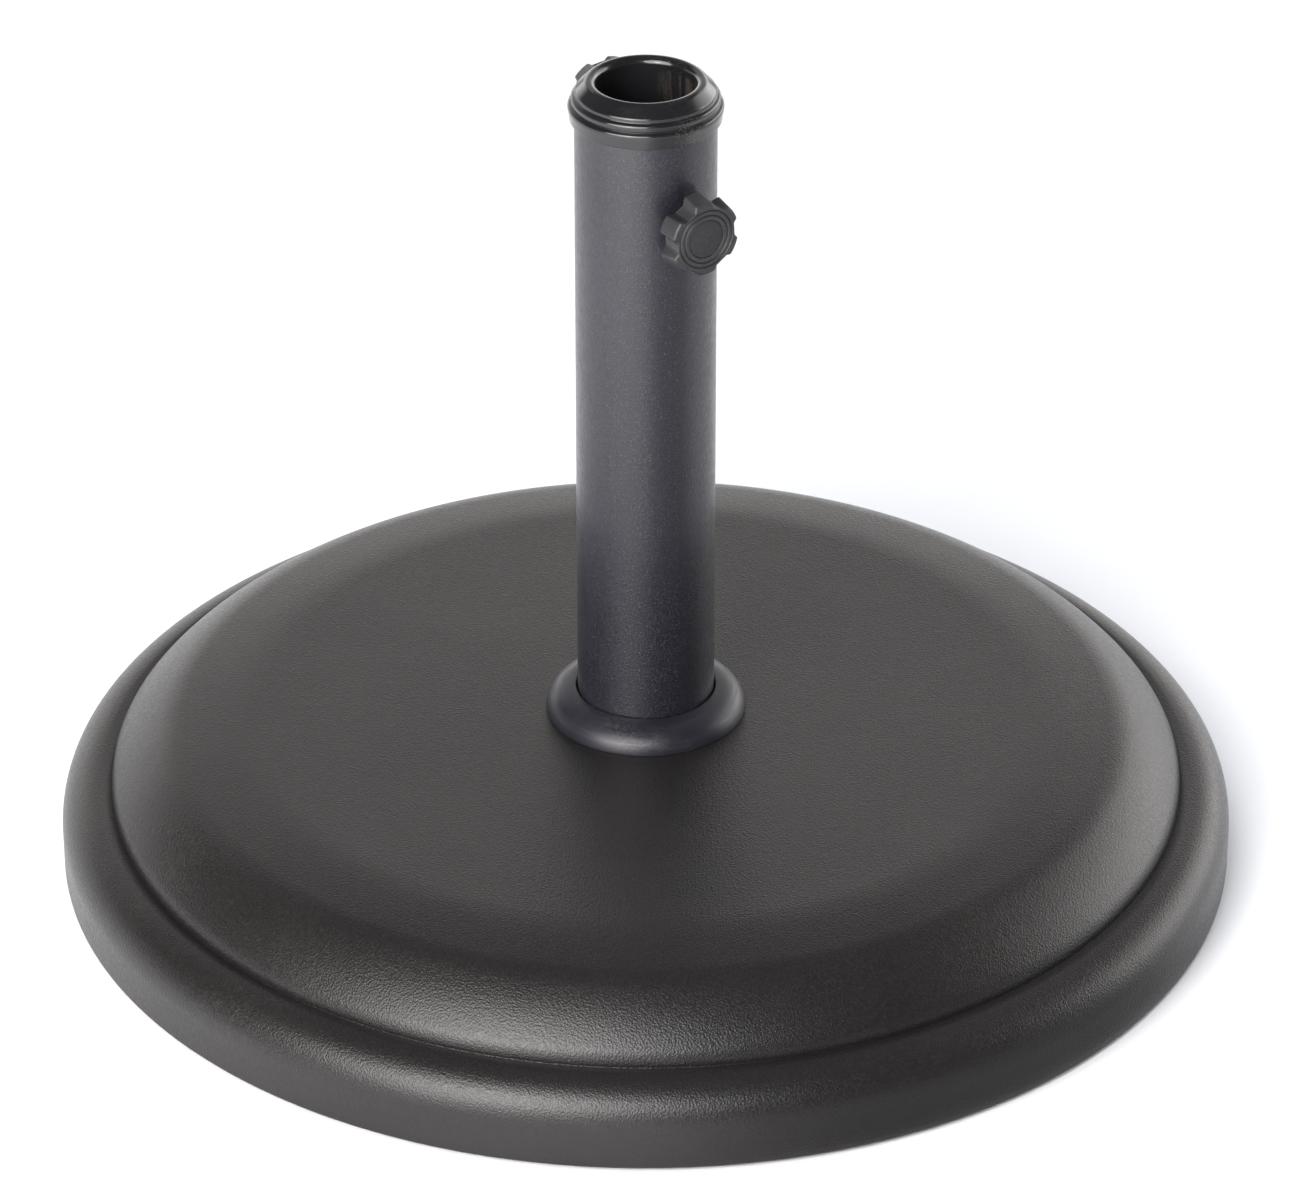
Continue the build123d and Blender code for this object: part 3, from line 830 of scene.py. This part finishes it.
for end_name, height, heading, turn, rear in CLAMPS:
    screw = f"{end_name}_screw"
    piece(
        f"{end_name}_lobed_knob", knob_mesh(f"{end_name}_lobed_knob", height, heading, turn, rear),
        MATERIALS["knob_plastic"], screw, f"{end_name}_knob",
    )
    piece(
        f"{end_name}_face_disc", disc_mesh(f"{end_name}_face_disc", height, heading, rear),
        MATERIALS["disc_plastic"], screw, f"{end_name}_knob_disc",
    )
    piece(
        f"{end_name}_threaded_stud", stud_mesh(f"{end_name}_threaded_stud", height, heading, rear),
        MATERIALS["zinc_steel"], screw, f"{end_name}_stud",
    )
    piece(
        f"{end_name}_nylon_tip", tip_mesh(f"{end_name}_nylon_tip", height, heading),
        MATERIALS["nylon"], f"{end_name}_tip", f"{end_name}_thrust_tip",
    )

# ---- CAD nodes that stay as they are --------------------------------------------------------------
for node, slot in (
    ("core_ferrule", "zinc_steel"), ("tube_foot_plate", "tube_coating"), ("weld_nut", "zinc_steel"),
    ("front_nut", "zinc_steel"), ("rear_nut", "zinc_steel"),
):
    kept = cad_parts[node]
    if not kept.material_slots:
        kept.data.materials.append(MATERIALS[slot])
    for material_slot in kept.material_slots:
        material_slot.link = "OBJECT"
        material_slot.material = MATERIALS[slot]

# ---- studio: metres and degrees ---------------------------------------------------------------------
CAMERA_SIDE = 236.44            # azimuth of the camera
CAMERA_PLACE = (-1.166, -1.757, 1.3445)
CAMERA_PITCH, CAMERA_HEADING = 30.23, -33.56
SENSOR_WIDTH, LENS = 36.0, 161.4
FLOOR_HALF = 12.0
# A grey card lies on the floor to the right of the camera's side. The camera doesn't see it; it
# takes the pale floor's reflection out of that side of the skirt and the tube. It is full out to
# CARD_FULL degrees from its middle and fades to nothing at CARD_HALF.
CARD_AZIMUTH, CARD_FULL, CARD_HALF = CAMERA_SIDE + 38.0, 14.0, 42.0
CARD_INNER, CARD_OUTER, CARD_Z = 0.2535, 0.9, 0.0006
CARD_STEPS = 32
# Brightness of the surroundings by elevation
BANDS = (
    (0.0, 2.2), (12.0, 2.0), (20.0, 0.78), (28.0, 0.58), (35.0, 0.80), (39.5, 0.10), (90.0, 0.04),
)
# The pale surroundings stand behind and beside the object. Between two cosines of the angle from
# straight behind they fade, down to a small part of their brightness on the camera's side.
BEHIND_FROM, BEHIND_TO, CAMERA_SIDE_PART = -0.12, 0.2, 0.05
# Patches of light: azimuth from the camera's side (negative to its left), elevation, where the
# patch starts to fade, where it ends, and its radiance; a negative one darkens the surroundings
GLOWS = (
    (124.0, 12.0, 6.0, 32.0, 2.0),
    (-112.0, 15.0, 8.0, 36.0, -1.1),
    (104.0, 24.0, 3.0, 7.0, 5.0),
)


def stage_prop(name, verts, faces, material):
    """A thing of the studio that isn't part of the object."""
    mesh = bpy.data.meshes.new(name)
    mesh.from_pydata(verts, [], faces)
    mesh.materials.append(material)
    prop = bpy.data.objects.new(name, mesh)
    scene.collection.objects.link(prop)
    return prop


def matt(name, colour):
    """Plain matt shader for the studio."""
    s = Shader(name, specular=0.1)
    s.surface.inputs["Roughness"].default_value = 0.9
    s.surface.inputs["Base Color"].default_value = colour
    return s


def card_shader():
    """Grey on the upper side only, fading out towards the card's two ends."""
    s = matt("grey_card", grey(0.33, 0.33, 0.34))
    flat = s.node("ShaderNodeVectorMath", {0: s.where, 1: (1.0, 1.0, 0.0)}, operation="MULTIPLY")
    flat = s.node("ShaderNodeVectorMath", {0: flat.outputs[0]}, operation="NORMALIZE")
    middle = (cos(radians(CARD_AZIMUTH)), sin(radians(CARD_AZIMUTH)), 0.0)
    angle = s.node("ShaderNodeVectorMath", {0: flat.outputs[0], 1: middle}, operation="DOT_PRODUCT")
    full = s.span(angle.outputs["Value"], cos(radians(CARD_HALF)), cos(radians(CARD_FULL)))
    below = s.node("ShaderNodeNewGeometry").outputs["Backfacing"]
    alpha = s.times(full, s.maths("SUBTRACT", 1.0, below))
    s.tree.links.new(alpha, s.surface.inputs["Alpha"])
    return s


corners = [(x * FLOOR_HALF, y * FLOOR_HALF, 0) for x, y in ((-1, -1), (1, -1), (1, 1), (-1, 1))]
paper = matt("studio_paper", grey(0.92, 0.925, 0.95))
stage_prop("studio_floor", corners, [(0, 1, 2, 3)], paper.material)

card_start, card_step = CARD_AZIMUTH - CARD_HALF, 2 * CARD_HALF / CARD_STEPS
card_angles = [radians(card_start + k * card_step) for k in range(CARD_STEPS + 1)]
card = stage_prop(
    "grey_card",
    [(r * cos(a), r * sin(a), CARD_Z) for a in card_angles for r in (CARD_INNER, CARD_OUTER)],
    [(2 * k, 2 * k + 1, 2 * k + 3, 2 * k + 2) for k in range(CARD_STEPS)],
    card_shader().material,
)
card.visible_camera = False
card.visible_shadow = False

world = bpy.data.worlds.new("studio")
scene.world = world
world.use_nodes = True
tree = world.node_tree
background = tree.nodes["Background"]
direction = add_node(tree, "ShaderNodeTexCoord").outputs["Generated"]


def toward(azimuth, elevation=0.0):
    """Unit vector towards a point of the sky, angles in degrees."""
    az, el = radians(azimuth), radians(elevation)
    return (cos(el) * cos(az), cos(el) * sin(az), sin(el))


def sky_maths(operation, a, b):
    return add_node(tree, "ShaderNodeMath", {0: a, 1: b}, operation=operation).outputs[0]


def sky_ramp(point, low, high, out_low, out_high):
    """A soft ramp over the cosine of the angle between the view into the sky and a direction."""
    dot = add_node(tree, "ShaderNodeVectorMath", {0: direction, 1: point}, operation="DOT_PRODUCT")
    values = {0: dot.outputs["Value"], 1: low, 2: high, 3: out_low, 4: out_high}
    return add_node(tree, "ShaderNodeMapRange", values, interpolation_type="SMOOTHSTEP").outputs[0]


sky_height = add_node(tree, "ShaderNodeSeparateXYZ", {0: direction}).outputs["Z"]
ramp = add_node(tree, "ShaderNodeValToRGB", {0: sky_height})
stops = ramp.color_ramp.elements
while len(stops) < len(BANDS):
    stops.new(0.5)
for stop, (elevation, value) in zip(stops, BANDS):
    stop.position = sin(radians(elevation))
    stop.color = grey(value, value, value)
light = add_node(tree, "ShaderNodeSeparateColor", {0: ramp.outputs[0]}).outputs[0]
straight_behind = toward(CAMERA_SIDE + 180.0)
behind = sky_ramp(straight_behind, BEHIND_FROM, BEHIND_TO, CAMERA_SIDE_PART, 1.0)
light = sky_maths("MULTIPLY", light, behind)
for azimuth, elevation, inner, outer, radiance in GLOWS:
    middle = toward(CAMERA_SIDE + azimuth, elevation)
    glow = sky_ramp(middle, cos(radians(outer)), cos(radians(inner)), 0.0, radiance)
    light = sky_maths("ADD", light, glow)
light = sky_maths("MAXIMUM", light, 0.0)
tree.links.new(light, background.inputs["Strength"])
background.inputs["Color"].default_value = grey(1.0, 0.975, 0.96)


def soft_light(name, azimuth, distance, height, size, power, colour, glossy=True):
    """A round area light that faces the middle of the foot; azimuth from the camera's side."""
    data = bpy.data.lights.new(name, "AREA")
    data.shape, data.size, data.energy, data.color = "DISK", size, power, colour
    lamp = bpy.data.objects.new(name, data)
    angle = radians(CAMERA_SIDE + azimuth)
    lamp.location = (distance * cos(angle), distance * sin(angle), height)
    aim = Vector((0, 0, 0.1)) - lamp.location
    lamp.rotation_euler = aim.to_track_quat("-Z", "Y").to_euler()
    lamp.visible_camera = False
    lamp.visible_glossy = glossy
    scene.collection.objects.link(lamp)


WARM, COOL, DAYLIGHT = (1.0, 0.965, 0.95), (0.75, 0.88, 1.0), (0.93, 0.965, 1.0)
# azimuth, distance, height and size of each light, then its power in watts
soft_light("key", -29.0, 1.5, 0.88, 1.75, 54.0, WARM)
soft_light("core", -26.0, 1.6, 0.95, 0.4, 5.0, WARM)
soft_light("cool", 2.0, 2.2, 1.7, 0.3, 4.5, COOL)
# whitens the floor without a reflection of its own in the object
soft_light("overhead", 175.0, 1.2, 2.6, 3.5, 62.0, DAYLIGHT, glossy=False)
scene.view_settings.view_transform = "Standard"

camera_data = bpy.data.cameras.new("camera")
camera_data.sensor_width = SENSOR_WIDTH
camera_data.lens = LENS
camera = bpy.data.objects.new("camera", camera_data)
camera.location = CAMERA_PLACE
camera.rotation_euler = (radians(90 - CAMERA_PITCH), 0.0, radians(CAMERA_HEADING))
scene.collection.objects.link(camera)
scene.camera = camera
